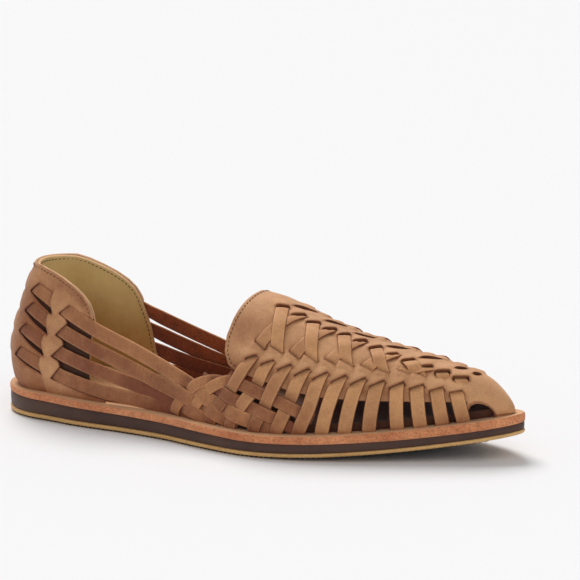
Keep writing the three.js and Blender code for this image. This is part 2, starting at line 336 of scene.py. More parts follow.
def sheet(pieces, p, n, inside, top, bottom, tint=0.5, bulge=0.22, trim=None):
    """A cut sheet with thickness on a surface. Points, normals, inside, top and bottom are
    grids, and tint may be one. Where the grid trim is over a half, the edge is trimmed."""
    trim = np.zeros(inside.shape) if trim is None else trim
    tint = np.full(inside.shape, tint) if np.isscalar(tint) else tint
    i, j = p.shape[0] // 2, p.shape[1] // 2
    if (np.cross(p[i + 1, j] - p[i, j], p[i, j + 1] - p[i, j]) * n[i, j]).sum() < 0:
        p, n, inside, top, bottom, trim, tint = [g[::-1] for g in (p, n, inside, top, bottom, trim, tint)]
    faces, ends, share = clip_grid(inside)

    def mix(grid):
        flat_grid = grid.reshape(-1, *grid.shape[2:])
        return (flat_grid[ends[:, 0]].T * (1 - share) + flat_grid[ends[:, 1]].T * share).T

    base, normal = mix(p), unit(mix(n))
    outer, inner = base + normal * mix(top)[:, None], base + normal * mix(bottom)[:, None]
    rim = rim_edges(faces)
    out = {}
    for a, b in rim:
        side = np.cross(outer[b] - outer[a], normal[a])
        for i in (a, b):
            out[i] = out.get(i, 0) + side
    rim_verts = sorted(out)
    order = {v: i for i, v in enumerate(rim_verts)}
    push = unit(np.array([out[v] for v in rim_verts])) * bulge
    rings = [outer[rim_verts] * (1 - depth) + inner[rim_verts] * depth + push * swell
             for depth, swell in EDGE_RINGS]
    count, rim_count = len(outer), len(rim_verts)

    def number(ring, v):
        """Vertex of a ring at the rim's vertex v; the first and last are the faces' own."""
        if ring in (0, len(EDGE_RINGS) + 1):
            return v + (count if ring else 0)
        return 2 * count + (ring - 1) * rim_count + order[v]

    all_faces = faces + [tuple(count + i for i in reversed(f)) for f in faces]
    all_slots = [GRAIN_SLOT] * len(faces) + [INNER_SLOT] * len(faces)
    trimmed = mix(trim) > 0.5
    for a, b in rim:
        for k in range(len(EDGE_RINGS) + 1):
            all_faces.append((number(k, b), number(k, a), number(k + 1, a), number(k + 1, b)))
            all_slots.append(TRIM_SLOT if trimmed[a] else EDGE_SLOT)
    shade = mix(tint)
    shades = [shade, shade] + [shade[rim_verts]] * len(EDGE_RINGS)
    pieces.add(np.concatenate([outer, inner, *rings]), all_faces, all_slots, np.concatenate(shades))


def tube_faces(count, k, flip=False):
    """Quads round a tube of `count` rings of k points, ring by ring, then its two end faces."""
    index = np.arange(count * k).reshape(count, k)
    turned = np.roll(index, -1, axis=1)
    quads = np.stack([index[:-1], index[1:], turned[1:], turned[:-1]], -1).reshape(-1, 4)
    faces = [tuple(q) for q in quads] + [tuple(index[0]), tuple(index[-1][::-1])]
    return [(f[0], *f[:0:-1]) for f in faces] if flip else faces


# cross-section of a strap: share of the half width, share of the thickness, material
# at this share of the half width a strap's edges are painted lighter: partly wear on the nubuck, partly a
# painted highlight
LIGHT_EDGE_SHARE = 0.91
STRAP_SECTION = [(-1, 0.68, 1), (-LIGHT_EDGE_SHARE, 0.93, 0), (-0.55, 1.06, 0), (0, 1.13, 0),
                 (0.55, 1.06, 0), (LIGHT_EDGE_SHARE, 0.93, 0), (1, 0.68, 1), (1, 0.25, 1),
                 (0.92, 0.02, 2), (0, 0, 2), (-0.92, 0.02, 2), (-1, 0.25, 1)]
SECTION_SLOTS = [a[2] if a[2] == b[2] else EDGE_SLOT
                 for a, b in zip(STRAP_SECTION, STRAP_SECTION[1:] + STRAP_SECTION[:1])]
STRAP_STEP, COVERED_SINK, WEAR_AND_HIGHLIGHT_TINT, PAINTED_RECESS_SHADE = 0.8, 1.5, 0.13, 0.4


def strap(pieces, point, rows, width=6.5, thick=1.15, tint=0.5, covered=None):
    """A leather strap over the surface point(u, v). Rows are u, v and the lift of its
    underside from the surface. covered(u, v) is 1 where it runs under another leather, and
    the strap sinks there. tint and width may be functions of u and v too."""
    rows = np.array(rows, float)
    s = running(point(rows[:, 0], rows[:, 1]))
    table = np.column_stack([s, rows])
    t = np.linspace(0, s[-1], max(int(s[-1] / STRAP_STEP), 6) + 1)
    u, v, lift = [curve(table, column)(t) for column in (1, 2, 3)]
    p, pu, pv, n = patch(point, u, v)
    go = unit(np.gradient(p + n * lift[:, None], axis=0))
    across = unit(np.cross(n, go))
    e, f, g = (pu * pu).sum(-1), (pu * pv).sum(-1), (pv * pv).sum(-1)
    cu, cv = (across * pu).sum(-1), (across * pv).sum(-1)
    det = np.maximum(e * g - f * f, 1e-9)
    du, dv = (g * cu - f * cv) / det, (e * cv - f * cu) / det
    half = (width(u, v) if callable(width) else width) / 2
    # painted shade: the strap is coloured darker where it dips below the surface, under the leather it
    # passes beneath
    recess_shade = PAINTED_RECESS_SHADE * smooth(-lift, 0.7, 1.8)
    rings, shades = [], []
    for share, depth, _ in STRAP_SECTION:
        qu, qv = u + du * half * share, v + dv * half * share
        q, _, _, qn = patch(point, qu, qv)
        sink = 0 if covered is None else COVERED_SINK * covered(qu, qv)
        rings.append(q + unit(qn + n) * (lift - sink + thick * depth)[:, None])
        # lighter edges: partly wear, partly a painted highlight
        wear_and_painted_light = WEAR_AND_HIGHLIGHT_TINT if abs(share) == LIGHT_EDGE_SHARE else 0.0
        shades.append((tint(qu, qv) if callable(tint) else tint) + recess_shade - wear_and_painted_light)
    verts = np.stack(rings, 1)
    count, k = verts.shape[:2]
    pieces.add(verts, tube_faces(count, k), SECTION_SLOTS * (count - 1) + [EDGE_SLOT] * 2,
               np.stack(shades, 1).ravel())


def smooth(x, low, high):
    s = np.clip((x - low) / (high - low), 0, 1)
    return s * s * (3 - 2 * s)


def polygon_distance(px, py, corners):
    """Signed distance to a polygon, positive inside."""
    corners = np.array(corners, float)
    best = np.full(px.shape, 1e9)
    inside = np.zeros(px.shape, bool)
    for k in range(len(corners)):
        (ax, ay), (bx, by) = corners[k], corners[(k + 1) % len(corners)]
        ex, ey = bx - ax, by - ay
        t = np.clip(((px - ax) * ex + (py - ay) * ey) / (ex * ex + ey * ey), 0, 1)
        best = np.minimum(best, np.hypot(px - ax - t * ex, py - ay - t * ey))
        if ay != by:
            cross = (ay > py) != (by > py)
            inside ^= cross & (px < ax + (py - ay) / (by - ay) * ex)
    return np.where(inside, best, -best)


def polyline_distance(px, py, points):
    best = np.full(px.shape, 1e9)
    for (ax, ay), (bx, by) in zip(points[:-1], points[1:]):
        ex, ey = bx - ax, by - ay
        t = np.clip(((px - ax) * ex + (py - ay) * ey) / (ex * ex + ey * ey), 0, 1)
        best = np.minimum(best, np.hypot(px - ax - t * ex, py - ay - t * ey))
    return best


# ---------------------------------------------------------------- materials
def put(tree, socket, value):
    """Links a node's input to another node's output, or sets its value."""
    if isinstance(value, bpy.types.NodeSocket):
        tree.links.new(value, socket)
    else:
        socket.default_value = value


def node(tree, kind, **inputs):
    """A new node, with each input linked or set by its name, or else a setting of the node."""
    made = tree.nodes.new(kind)
    for key, value in inputs.items():
        if key.replace("_", " ") in made.inputs.keys():
            put(tree, made.inputs[key.replace("_", " ")], value)
        else:
            setattr(made, key, value)
    return made


def srgb(r, g, b):
    """Colour 0 to 255 on screen to a linear colour."""
    f = lambda c: (c / 255 / 12.92) if c <= 10 else ((c / 255 + 0.055) / 1.055) ** 2.4
    return (f(r), f(g), f(b), 1.0)


def ramp(tree, fac, stops):
    made = tree.nodes.new("ShaderNodeValToRGB")
    while len(made.color_ramp.elements) < len(stops):
        made.color_ramp.elements.new(0.5)
    for element, (at, colour) in zip(made.color_ramp.elements, stops):
        element.position, element.color = at, colour
    tree.links.new(fac, made.inputs[0])
    return made.outputs[0]


def grey(value):
    return (value, value, value, 1.0)


def noise(tree, place_in, scale, detail=3.0, rough=0.55, stretch=None):
    if stretch:
        place_in = node(tree, "ShaderNodeMapping", Vector=place_in, Scale=stretch).outputs[0]
    return node(tree, "ShaderNodeTexNoise", Vector=place_in, Scale=scale, Detail=detail,
                Roughness=rough).outputs["Fac"]


def blend(tree, kind, a, b, fac=1.0):
    made = tree.nodes.new("ShaderNodeMix")
    made.data_type, made.blend_type = "RGBA", kind
    for key, value in ((0, fac), (6, a), (7, b)):
        put(tree, made.inputs[key], value)
    return made.outputs[2]


def maths(tree, kind, a, b=0.0, clamp=False):
    made = tree.nodes.new("ShaderNodeMath")
    made.operation, made.use_clamp = kind, clamp
    for i, value in enumerate((a, b)):
        put(tree, made.inputs[i], value)
    return made.outputs[0]


def start_material(name):
    """A material with an empty node tree, the tree, and its coordinates on the object."""
    material = bpy.data.materials.new(name)
    material.use_nodes = True
    tree = material.node_tree
    tree.nodes.clear()
    return material, tree, node(tree, "ShaderNodeTexCoord").outputs["Object"]


def finish_material(tree, colour, rough_map, bump, specular):
    """Joins colour, roughness and bump to a shader and the output, and returns the shader."""
    shader = node(tree, "ShaderNodeBsdfPrincipled", Roughness=rough_map)
    tree.links.new(colour, shader.inputs["Base Color"])
    tree.links.new(bump.outputs[0], shader.inputs["Normal"])
    shader.inputs["Specular IOR Level"].default_value = specular
    out = node(tree, "ShaderNodeOutputMaterial")
    tree.links.new(shader.outputs[0], out.inputs["Surface"])
    return shader


def leather(name, light, dark, mottle=0.5, rough=0.72, grain=0.5, grain_scale=2600, sheen=0.12,
            fuzz=0.0, shade=(0.8, 1.08), streak=0.0):
    """Nubuck or suede: tint chooses between two colours, cloudy patches and fine grain."""
    material, tree, where = start_material(name)
    tint = node(tree, "ShaderNodeAttribute", attribute_name="tint").outputs["Fac"]
    cloud = noise(tree, where, 62, 3, 0.6)
    patches = noise(tree, where, 230, 4, 0.62)
    fine = noise(tree, where, grain_scale, 2, 0.6)
    spread = maths(tree, "MULTIPLY", maths(tree, "SUBTRACT", cloud, 0.5), mottle * 1.6)
    spots = maths(tree, "MULTIPLY", maths(tree, "SUBTRACT", patches, 0.5), mottle * 0.9)
    fac = maths(tree, "ADD", maths(tree, "ADD", tint, spread), spots, True)
    colour = ramp(tree, fac, [(0.0, srgb(*light)), (1.0, srgb(*dark))])
    low, high = shade
    value = ramp(tree, fine, [(0.3, grey(low)), (0.5, grey(1.0)), (0.72, grey(high))])
    colour = blend(tree, "MULTIPLY", colour, value)
    height = maths(tree, "ADD", maths(tree, "MULTIPLY", fine, 0.5 + fuzz),
                   maths(tree, "MULTIPLY", patches, 0.9))
    if streak:
        lines = noise(tree, where, 90, 5, 0.7, (14.0, 14.0, 1.0))
        colour = blend(tree, "MULTIPLY", colour,
                       ramp(tree, lines, [(0.35, grey(1 - streak)), (0.6, grey(1.0))]))
        height = maths(tree, "ADD", height, maths(tree, "MULTIPLY", lines, 1.2))
    bump = node(tree, "ShaderNodeBump", Strength=grain, Distance=0.00035, Height=height)
    coarse = noise(tree, where, 520, 3, 0.6)
    rough_map = ramp(tree, coarse, [(0.3, grey(rough - 0.08)), (0.7, grey(min(rough + 0.08, 1)))])
    shader = finish_material(tree, colour, rough_map, bump, 0.28)
    shader.inputs["Sheen Weight"].default_value = sheen
    shader.inputs["Sheen Roughness"].default_value = 0.5
    return material


def rubber(name, base, wear_and_painted_light, rough):
    """Moulded rubber with faint dust, fine texture and scuffs."""
    material, tree, where = start_material(name)
    cloud = noise(tree, where, 40, 4, 0.65)
    fine = noise(tree, where, 900, 3, 0.6)
    scuff = noise(tree, where, 160, 5, 0.7, (1.0, 1.0, 5.0))
    fac = maths(tree, "ADD", maths(tree, "MULTIPLY", cloud, 0.6), maths(tree, "MULTIPLY", scuff, 0.4))
    colour = ramp(tree, fac, [(0.35, srgb(*base)), (0.68, srgb(*wear_and_painted_light))])
    colour = blend(tree, "MULTIPLY", colour,
                   ramp(tree, fine, [(0.35, grey(0.88)), (0.65, grey(1.06))]))
    bump = node(tree, "ShaderNodeBump", Strength=0.25, Distance=0.0002, Height=fine)
    rough_map = ramp(tree, scuff, [(0.3, grey(rough - 0.07)), (0.7, grey(rough + 0.1))])
    finish_material(tree, colour, rough_map, bump, 0.4)
    return material


NUBUCK = leather("nubuck", (214, 160, 113), (142, 82, 48), mottle=0.55,
                 grain=0.7, shade=(0.72, 1.12))
STRAP_NUBUCK = leather("strap_nubuck", (222, 164, 112), (132, 74, 46), mottle=0.5,
                       grain=0.7, shade=(0.74, 1.1))
HEEL_NUBUCK = leather("heel_strap_nubuck", (214, 152, 100), (136, 76, 50), mottle=0.45,
                      grain=0.8, shade=(0.72, 1.12), streak=0.16)
CUT_EDGE = leather("cut_edge", (158, 98, 60), (92, 48, 28), mottle=0.7, rough=0.85,
                   grain=0.9, grain_scale=1500, fuzz=0.6, shade=(0.66, 1.12))
RAW_EDGE = leather("raw_edge", (224, 166, 114), (168, 104, 66), mottle=0.7, rough=0.85,
                   grain=0.9, grain_scale=1500, fuzz=0.6, shade=(0.72, 1.15))
FLESH = leather("suede_flesh", (182, 98, 50), (118, 54, 27), mottle=0.8, rough=0.92,
                grain=1.0, grain_scale=1300, fuzz=0.8, sheen=0.3, shade=(0.6, 1.2))
# the lining's light end is painted light at the top of the heel, its dark end painted shade low down
LINING = leather("lining", (250, 226, 160), (180, 132, 68), mottle=0.25, rough=0.6,
                 grain=0.2, shade=(0.93, 1.03))
# dark brown backing leather; on the strip behind the weave it stands in for shade, painted shade
BACKING_AND_SHADE = leather("backing_and_shade", (92, 56, 38), (64, 38, 26), mottle=0.4, rough=0.85)
BINDING = leather("topline_edge", (232, 186, 138), (196, 142, 98), mottle=0.4, rough=0.75)
WELT_EDGE = leather("welt_edge", (240, 166, 116), (182, 102, 64), mottle=0.8, rough=0.85,
                    grain=1.0, grain_scale=1100, fuzz=0.9, shade=(0.66, 1.18))
WELT_TOP = leather("welt_top", (238, 188, 140), (200, 146, 102), mottle=0.5, rough=0.7,
                   grain=0.4, shade=(0.9, 1.04))
# the footbed's dark end is painted shade, used under the vamp
FOOTBED = leather("footbed", (222, 172, 122), (82, 42, 24), mottle=0.2, rough=0.6,
                  grain=0.3, shade=(0.92, 1.04))
THREAD = leather("thread", (112, 70, 42), (90, 54, 34), mottle=0.3, rough=0.7,
                 grain=0.6, grain_scale=4000)
MIDSOLE_RUBBER = rubber("midsole_rubber", (68, 42, 33), (88, 60, 47), rough=0.5)
GUM_RUBBER = rubber("gum_rubber", (228, 182, 118), (204, 156, 94), rough=0.42)
TREAD_RUBBER = rubber("tread_rubber", (40, 34, 30), (56, 48, 42), rough=0.6)


# ---------------------------------------------------------------- sole
SOLE_STEPS, SOLE_ACROSS = 150, 14


def eased(steps):
    """Shares from 0 to 1, closer together near both ends."""
    return (1 - np.cos(np.pi * np.arange(steps + 1) / steps)) / 2


def sole_layer(name, bottom, top, profile, materials):
    """Layer of the sole. Profile rows: inset from the sole's edge, share of the height and
    material of the next step, from the underside's rim up to the top's rim."""
    rings = []
    for share in eased(SOLE_STEPS):
        outer, inner = [], []
        for inset, height, _ in profile:
            x = inset + (LENGTH - 2 * inset) * share
            z = bottom(x) + (top(x) - bottom(x)) * height
            outer.append((x, sole_edge(x, -1, inset), z))
            inner.append((x, sole_edge(x, 1, inset), z))
        over = np.linspace(outer[-1], inner[-1], SOLE_ACROSS + 1)[1:-1]
        under = np.linspace(inner[0], outer[0], SOLE_ACROSS + 1)[1:-1]
        rings.append([*outer, *over, *inner[::-1], *under])
    steps = [row[2] for row in profile]
    slots_round = steps[:-1] + [steps[-1]] * SOLE_ACROSS + steps[:-1][::-1] + [steps[0]] * SOLE_ACROSS
    pieces = Pieces()
    pieces.add(rings, tube_faces(len(rings), len(rings[0]), True),
               slots_round * SOLE_STEPS + [steps[0]] * 2)
    return pieces.build(name, materials, 40)


TREAD_DEPTH = 0.8
outsole = sole_layer("gum_outsole", lambda x: ground(x) + TREAD_DEPTH, outsole_top,
                     [(0.9, 0, 0), (0.35, 0.1, 0), (0.05, 0.35, 0), (0.0, 0.62, 0), (0.12, 0.85, 0),
                      (0.6, 1.0, 0)], [GUM_RUBBER])
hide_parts("outsole")
midsole = sole_layer("midsole_layer", outsole_top, midsole_top,
                     [(0.7, 0, 0), (0.45, 0.06, 0), (0.3, 0.3, 0), (0.25, 0.6, 0), (0.35, 0.93, 0),
                      (0.6, 1.0, 0)], [MIDSOLE_RUBBER])
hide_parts("midsole")
welt = sole_layer("leather_welt", midsole_top, sole_top,
                  [(0.6, 0, 0), (0.12, 0.1, 0), (0.0, 0.35, 0), (0.0, 0.68, 0), (0.2, 0.88, 0),
                   (0.6, 0.97, 1), (1.2, 1.0, 1)], [WELT_EDGE, WELT_TOP])
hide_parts("welt")

RIB_PITCH, RIB_WIDTH, RIB_PARTS, CHEVRON = 2.3, 1.25, 8, 5.0
TREAD_INSET, TOE_INSET = 1.5, 4.5
BOX_FACES = [(3, 2, 1, 0), (4, 5, 6, 7), (0, 1, 5, 4), (1, 2, 6, 5), (2, 3, 7, 6), (3, 0, 4, 7)]


def tread_ribs():
    """Short ribs across the sole, in a shallow chevron."""
    pieces = Pieces()
    for x in np.arange(TREAD_INSET + 2.5, LENGTH - 12.0, RIB_PITCH):
        inset = TREAD_INSET + (TOE_INSET - TREAD_INSET) * smooth(x, 140, 200)
        ys = np.linspace(sole_edge(x, -1, inset), sole_edge(x, 1, inset), RIB_PARTS + 1)
        lead = CHEVRON * (1 - np.abs(np.linspace(-1, 1, RIB_PARTS + 1))) * min(1.0, (LENGTH - 8 - x) / 12)
        line = list(zip(x + lead, ys))
        for (xa, ya), (xb, yb) in zip(line[:-1], line[1:]):
            corners = [(xa - RIB_WIDTH / 2, ya), (xa + RIB_WIDTH / 2, ya), (xb + RIB_WIDTH / 2, yb),
                       (xb - RIB_WIDTH / 2, yb)]
            verts = [(cx, cy, ground(cx)) for cx, cy in corners]
            verts += [(cx, cy, ground(cx) + TREAD_DEPTH + 0.1) for cx, cy in corners]
            pieces.add(verts, BOX_FACES, 0)
    return pieces.build("tread_ribs", [TREAD_RUBBER], 30)


tread_piece = tread_ribs()

# the footbed, inside the upper: sizes, and where its colour is painted darker under the vamp, painted
# shade
INSOLE_THICK, INSOLE_INSET, INSOLE_TIP, INSOLE_MARGIN = 2.5, 5.2, 3.4, 4.0
INSOLE_STEPS, INSOLE_ACROSS, INSOLE_DISH = 130, 18, 1.1
SHADED_FROM, SHADED_TO = 108, 150


def footbed():
    rings = []
    for share in eased(INSOLE_STEPS):
        x = INSOLE_INSET + (LAST_TIP - INSOLE_TIP - INSOLE_INSET) * share
        a, b = last(x, 0.0, -INSOLE_MARGIN), last(x, 180.0, -INSOLE_MARGIN)
        a[0] = b[0] = x
        top, under = np.linspace(a, b, INSOLE_ACROSS + 1), np.linspace(b, a, INSOLE_ACROSS + 1)
        rise = INSOLE_DISH * np.linspace(-1, 1, INSOLE_ACROSS + 1) ** 4 * round_end(x, 60)
        top[:, 2] = sole_top(x) + 0.2 + INSOLE_THICK + rise
        under[:, 2] = sole_top(x) + 0.15
        rings.append([*top, *under])
    verts = np.array(rings)
    # painted shade: the footbed darkens towards the toe, where it lies under the vamp
    wear_and_painted_light = 0.12 + 0.85 * smooth(verts[..., 0], SHADED_FROM, SHADED_TO)
    pieces = Pieces()
    pieces.add(verts, tube_faces(*verts.shape[:2], True), 0, wear_and_painted_light.ravel())
    return pieces.build("footbed", [FOOTBED], 40)


insole = footbed()
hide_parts("insole")

# ---------------------------------------------------------------- vamp panel
BAND_LIFT, FIELD_SINK, LIP_LIFT, PANEL_THICK, STITCH_IN = 0.25, 0.7, 1.2, 1.5, 1.7
SIDE_SLOT_FIRST, SIDE_SLOT_PITCH = 145.4, 8.15
# lower and upper end of each side slot
SLOT_TURNS = [(36.5, 41.0), (36, 42), (36, 43), (35.5, 43.5), *[(35.5, 44)] * 6, (35, 43.5), (35, 42)]
SIDE_STRAPS = len(SLOT_TURNS)
# cross straps: ends of the top and bottom slits (along, turn) on the outer side
CROSS_OVER = [((146.8, 76.5), (151.5, 82.2), (153.1, 48.0), (159.1, 46.2)),
              ((161.8, 77.2), (166.6, 83.7), (168.6, 51.2), (174.7, 48.0)),
              ((176.5, 79.0), (180.8, 85.9), (183.6, 54.4), (190.4, 50.5)),
              ((192.5, 74.7), (196.7, 83.3), (200.1, 53.2), (205.6, 50.6)),
              ((208.4, 68.9), (213.3, 75.5), (215.3, 55.3), (221.0, 52.3))]
CROSS_UNDER = [((154.7, 76.1), (159.3, 84.0), (144.8, 47.3), (150.3, 44.7)),
               ((169.4, 78.3), (174.1, 85.1), (161.4, 49.1), (166.6, 46.5)),
               ((184.2, 78.6), (189.0, 85.1), (177.1, 51.9), (182.6, 49.4)),
               ((200.9, 73.6), (205.0, 79.3), (193.2, 53.4), (198.4, 50.8)),
               ((218.0, 66.5), (222.0, 71.0), (209.2, 54.6), (213.8, 52.6))]
END_SLITS = [((223.8, 62.4), (229.8, 69.6)), ((231.9, 58.8), (238.3, 67.1))]
# the inner side: shift of the mirrored feet, and where its own, lower top slits start
MEDIAL_SHIFT = 5.0
MEDIAL_TOPS = [(152.0, 112.0), (166.5, 111.5), (181.5, 110.5), (197.0, 110.5), (212.5, 111.5)]
MEDIAL_ENDS = [((226.8, 117.0), (232.8, 110.4)), ((234.9, 121.0), (241.3, 113.0))]
# openings across the ridge, like half-shut eyes
RIDGE_EYES = [((151.8, 86.0), (160.2, 101.0)), ((166.5, 89.0), (174.6, 102.5)),
              ((180.6, 91.0), (189.2, 103.0)), ((197.4, 86.5), (206.6, 101.5)),
              ((214.2, 80.0), (222.8, 98.5)), ((230.6, 80.0), (235.0, 96.0)),
              ((238.6, 80.5), (241.8, 94.0))]
# edges of the vamp on the outer side, along and turn: throat, lower edge, opening at the toe
THROAT = [(133.9, 90), (133.8, 86), (133.1, 79), (131.9, 68), (130.5, 57), (129.8, 46), (130.6, 38),
          (133.4, 32.5), (138.5, 29.8)]
LOWER_EDGE = [(146, 29.2), (158, 28.2), (166, 27), (180, 25.5), (195, 25), (209, 24.8), (221, 24.3),
              (232, 24.3), (240.2, 25.5)]
TOE_ARCH = [(240.6, -6), (240.6, 12), (241.6, 19.5), (243.6, 23.2), (246.2, 23.4), (248.6, 20.2),
            (250.2, 14), (251.0, 7), (251.4, -6)]


def flat(along, turn):
    """Chart of the forefoot: distance along and distance round from the ridge."""
    return np.array([along, float(girth(along, turn))])


def charted(rows, side=-1):
    """Rows along, turn of the outer side as points of the chart, or of the inner side for
    side 1. A turn under 0 is a distance down past the feather line."""
    return [flat(a, max(t, 0) if side < 0 else 180 - max(t, 0)) + (0, -side * min(t, 0)) for a, t in rows]


def slit_at(a, b, lip_up, side):
    """Centre, direction, lip direction and half length of a slit from a to b."""
    p, q = flat(*a), flat(*b)
    e = (q - p) / np.linalg.norm(q - p)
    lip = np.array([-e[1], e[0]])
    toward_ridge = -side * lip[1] > 0
    if toward_ridge != lip_up:
        lip = -lip
    return (p + q) / 2, e, lip, np.linalg.norm(q - p) / 2


def in_slit(x, y, slit):
    """Place of chart points along a slit from its centre, and out from it towards its lip."""
    centre, e, lip, _ = slit
    dx, dy = x - centre[0], y - centre[1]
    return dx * e[0] + dy * e[1], dx * lip[0] + dy * lip[1]


def other_side(point):
    return (point[0] + MEDIAL_SHIFT, 180 - point[1])


# the inner side's cross straps: the same feet mirrored, and their own tops
over_ends, under_ends, end_slits = {-1: CROSS_OVER}, {-1: CROSS_UNDER}, {-1: END_SLITS, 1: MEDIAL_ENDS}
over_ends[1] = [((x, t), (x + 5.0, t - 5.5), other_side(c), other_side(d))
                for (x, t), (_, _, c, d) in zip(MEDIAL_TOPS, CROSS_OVER)]
under_ends[1] = [((x + 7.9, t - 0.4), (x + 12.2, t - 7.0), other_side(c), other_side(d))
                 for (x, t), (_, _, c, d) in zip(MEDIAL_TOPS, CROSS_UNDER)]
slits = {"side": [], "top": [], "bottom": [], "end": [],
         "eye": [slit_at(a, b, False, 1) for a, b in RIDGE_EYES]}
for side in (-1, 1):
    for k, (low, high) in enumerate(SLOT_TURNS):
        x = SIDE_SLOT_FIRST + SIDE_SLOT_PITCH * k
        ends = [(a, t if side < 0 else 180 - t) for a, t in ((x - 3.5, low), (x + 3.2, high))]
        slits["side"].append(slit_at(*ends, True, side))
    for top_a, top_b, bottom_a, bottom_b in over_ends[side] + under_ends[side]:
        slits["top"].append(slit_at(top_a, top_b, True, side))
        slits["bottom"].append(slit_at(bottom_a, bottom_b, False, side))
    for a, b in end_slits[side]:
        slits["end"].append(slit_at(a, b, True, side))


def spaced(values, run, step):
    """Values resampled so that the running length between them is `step`."""
    count = int(run[-1] / step) + 1
    return np.interp(np.linspace(0, run[-1], count), run, values)


def vamp_grid(start, step_along, step_turn):
    tries = LAST_TIP - 0.002 - (LAST_TIP - start) * np.linspace(1, 0, 6001) ** 1.8
    longest = np.max([np.linalg.norm(np.diff(last(tries, t), axis=0), axis=1)
                      for t in (5.0, 45.0, 90.0, 135.0, 175.0)], axis=0)
    along = spaced(tries, np.concatenate([[0], np.cumsum(longest)]), step_along)
    turn = np.arange(-4.0, 184.01, step_turn)
    return np.meshgrid(along, turn, indexing="ij")


# outline of the panel past the last's tip, and how each kind of slit is cut: how far the
# leather before it sinks, what is added to its half length, and how wide it stands open
THROAT_LINE = charted(THROAT[::-1]) + charted(THROAT[1:], 1)
PANEL_START, TIP_OPEN, PAST_TIP, BELOW = 128.0, 252.0, LAST_TIP + 6, 90.0
SLIT_REACH = {"side": 7.0, "top": 7.0, "bottom": 6.0, "end": 6.0}
SLIT_TRIM = {"side": -0.85, "top": 0.1, "bottom": 0.1, "end": 0.1}
SLIT_OPEN = {"side": 1.4, "top": 1.4, "bottom": 1.2, "end": 1.4}
EYE_LIP, EYE_HALF_WIDTH = 0.45, 1.3


def slit_relief(x, y):
    """How far lips rise and the leather before them sinks, 0 to 1, and distance from the holes."""
    lips, sinks, holes = np.zeros(x.shape), np.zeros(x.shape), np.full(x.shape, 1e9)
    for kind, slit in [(kind, slit) for kind in slits for slit in slits[kind]]:
        u, v = in_slit(x, y, slit)
        half = slit[3]
        span = 1 - smooth(np.abs(u), half - 1.0, half + 1.8)
        up = span * (1 - smooth(v, 0.5, 6.5)) * smooth(v, -0.9, 0.4)
        if kind == "eye":
            lips = np.maximum(lips, EYE_LIP * up)
            hole = np.abs(v) - EYE_HALF_WIDTH * (1 - (u / half) ** 2)
        else:
            lips = np.maximum(lips, up)
            down = span * (1 - smooth(-v, 1.0, SLIT_REACH[kind])) * smooth(-v, -0.6, 0.9)
            sinks = np.maximum(sinks, down)
            past_end = np.abs(u) - half - SLIT_TRIM[kind]
            hole = np.maximum(past_end, np.maximum(v - 0.25, -v - SLIT_OPEN[kind]))
        holes = np.minimum(holes, hole)
    return lips, sinks, holes


def vamp_panel():
    along, turn = vamp_grid(PANEL_START, 0.72, 0.82)
    on_last = np.clip(turn, 0, 180)
    x, y = along, girth(along, on_last) + 0.9 * (turn - on_last)
    low_turn = np.minimum(turn, 180 - turn)
    n = patch(last, np.clip(along, 0, LAST_TIP - 0.21), turn)[3]
    lips, sinks, holes = slit_relief(x, y)
    corners = charted(THROAT + LOWER_EDGE + TOE_ARCH)
    corners += [(TIP_OPEN, -BELOW), (PAST_TIP, -BELOW), (PAST_TIP, BELOW), (TIP_OPEN, BELOW)]
    corners += charted(THROAT[1:] + LOWER_EDGE + TOE_ARCH, 1)[::-1]
    inside = np.minimum(polygon_distance(x, y, corners), holes)
    # the leather lies lower between the straps and along the slots
    field = 0.5 * (1 - smooth(np.abs(np.abs(y) - 13), 6, 11)) * smooth(x, 143, 152)
    field *= 1 - smooth(x, 205, 228)
    margin = (1 - smooth(low_turn, 31, 40)) * (1 - smooth(x, 236, 243))
    height = BAND_LIFT - 0.5 * np.maximum(field, margin) + LIP_LIFT * lips - FIELD_SINK * sinks
    height = np.clip(height, -0.55, 1.5)
    # rolled throat edge with its stitch groove
    edge = polyline_distance(x, y, THROAT_LINE)
    height -= 0.6 * (1 - smooth(edge, -0.5, 3.0)) + 0.2 * np.exp(-((edge - STITCH_IN) / 0.45) ** 2)
    # soft hand-made swells, and a hollow at the outer corner of the throat
    height += 0.22 * np.sin(x * 0.21 + y * 0.13) * np.sin(y * 0.19 - x * 0.05)
    hollow = 1 - smooth(np.hypot(x - 139, (y + 27) * 0.8), 2, 11)
    height -= 0.5 * hollow + 1.0 * (1 - smooth(low_turn, 0, 5)) * smooth(x, 248, 252)
    arch_wall = 1.3 * (1 - smooth(np.hypot((x - 246) * 0.9, low_turn * 0.42), 5.5, 9.5))
    # lighter towards the toe; painted shade: darker in the recesses and down the sides by the throat
    tint = 0.16 - 0.14 * smooth(x, 212, 240) + 0.1 * np.sin(x * 0.11 + 1) * np.cos(y * 0.16)
    tint += 0.12 * sinks + 0.4 * margin + 0.18 * hollow
    tint += 0.22 * smooth(np.abs(y), 14, 36) * (1 - smooth(x, 140, 165))
    tint += 0.2 * (1 - smooth(low_turn, 2, 22)) * smooth(x, 240, 246)
    # darker rims round the cuts and the toe's opening: partly burnished cut edges, partly painted shadow
    # in the crevices
    arch = polyline_distance(x, np.abs(y), [(a, -b) for a, b in charted(TOE_ARCH)])
    tint += 0.75 * (1 - smooth(arch, 0.5, 1.3)) + 0.55 * (1 - smooth(holes, 0.1, 0.9))
    pieces = Pieces()
    sheet(pieces, last(along, turn), n, inside, height, height - PANEL_THICK - arch_wall,
          np.clip(tint - 0.06 * lips, 0, 1), bulge=0.15)
    return pieces.build("vamp_panel", [NUBUCK, CUT_EDGE, FLESH], 60)


panel = vamp_panel()
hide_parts("upper")

rng = random.Random(7)


